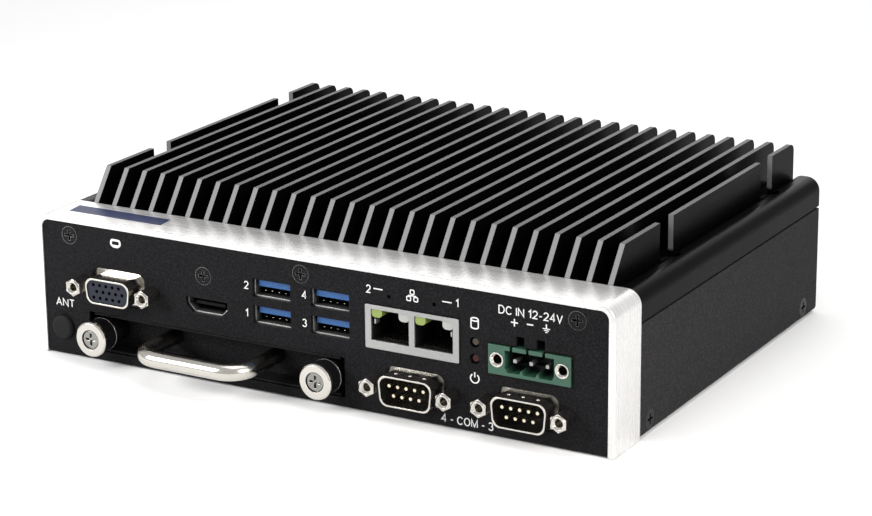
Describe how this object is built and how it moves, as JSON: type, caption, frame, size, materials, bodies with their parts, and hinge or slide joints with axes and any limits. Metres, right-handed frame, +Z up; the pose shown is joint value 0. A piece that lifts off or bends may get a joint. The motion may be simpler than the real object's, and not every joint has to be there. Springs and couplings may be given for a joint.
{
  "type": "fanless industrial computer",
  "caption": "Low wide black industrial computer with a finned heatsink for its top, a silver front rim, data and power sockets in front, and a drive tray with a pull handle.",
  "frame": {"origin": "centre of the case's flat underside, on the surface that it stands on", "axes": "+X to the right along the front panel, +Y from the front panel to the rear, +Z up"},
  "size_m": [0.194, 0.1675, 0.0538],
  "materials": {
    "heatsink_black": "black anodised, satin",
    "case_black": "black powder coat, fine texture",
    "panel_black": "black powder coat, fine texture",
    "bezel_silver": "brushed, clear anodised",
    "zinc_steel": "zinc plated",
    "screw_black": "black zinc",
    "nickel": "nickel plated",
    "socket_steel": "tinned spring steel",
    "plastic_black": "matt",
    "plastic_blue": "matt",
    "gold_contacts": "gold flash",
    "terminal_green": "satin",
    "light_pipe": "moulded, clear tint",
    "lamp_lens": "moulded lens, unlit",
    "blank_rubber": "matt",
    "board_green": "solder mask",
    "inside_aluminium": "milled",
    "drive_case": "anodised",
    "cell_steel": "satin"
  },
  "bodies": {
    "case": {"aerial_blank": "blank_rubber", "board_standoffs": "zinc_steel", "bottom_cover": "case_black", "bus_shell_12": "socket_steel", "bus_shell_34": "socket_steel", "bus_tongues_12": "plastic_blue", "bus_tongues_34": "plastic_blue", "button_housing": "nickel", "coin_cell": "cell_steel", "coin_cell_holder": "plastic_black", "com1_insulator": "plastic_black", "com1_shell": "nickel", "com2_insulator": "plastic_black", "com2_shell": "nickel", "com3_insulator": "plastic_black", "com3_shell": "nickel", "com4_insulator": "plastic_black", "com4_shell": "nickel", "display_insulator": "plastic_black", "display_shell": "nickel", "drive_connector": "plastic_black", "front_bezel": "bezel_silver", "front_jackscrews": "nickel", "front_panel": "panel_black", "heatsink_cover": "heatsink_black", "heatsink_screws": "screw_black", "lan_light_pipes": "light_pipe", "lan_liner": "plastic_black", "lan_shell": "socket_steel", "left_side_rail": "zinc_steel", "main_board": "board_green", "memory_module": "board_green", "memory_socket": "plastic_black", "mount_nuts": "zinc_steel", "panel_screws": "screw_black", "power_header": "terminal_green", "power_header_nuts": "nickel", "power_pins": "socket_steel", "processor": "plastic_black", "rear_aerial_blanks": "blank_rubber", "rear_jackscrews": "nickel", "rear_panel": "case_black", "right_side_rail": "zinc_steel", "serial_board": "board_green", "serial_pins": "gold_contacts", "side_screws": "screw_black", "status_lamps": "lamp_lens", "thermal_spreader": "inside_aluminium", "tray_guides": "zinc_steel", "video_shell": "socket_steel", "video_tongue": "plastic_black"},
    "drive_tray_body": {"drive_tray": "panel_black", "tray_handle": "nickel", "thumbscrew_ferrules": "screw_black", "storage_drive": "drive_case"},
    "left_thumbscrew_body": {"left_thumbscrew": "nickel"},
    "right_thumbscrew_body": {"right_thumbscrew": "nickel"},
    "power_button_body": {"power_button": "plastic_black"}
  },
  "joints": [
    {"name": "tray_slide", "type": "slide", "parent": "case", "child": "drive_tray_body", "axis": [0, -1, 0], "range_m": [0, 0.1]},
    {"name": "left_thumbscrew_turn", "type": "hinge", "parent": "drive_tray_body", "child": "left_thumbscrew_body", "pos_m": [-0.0736, -0.0801, 0.00915], "axis": [0, -1, 0], "continuous": true},
    {"name": "right_thumbscrew_turn", "type": "hinge", "parent": "drive_tray_body", "child": "right_thumbscrew_body", "pos_m": [0.0054, -0.0801, 0.00915], "axis": [0, -1, 0], "continuous": true},
    {"name": "power_button_press", "type": "slide", "parent": "case", "child": "power_button_body", "axis": [0, -1, 0], "range_m": [0, 0.0012], "stiffness_N_per_m": 800, "springref_m": -0.0002}
  ]
}
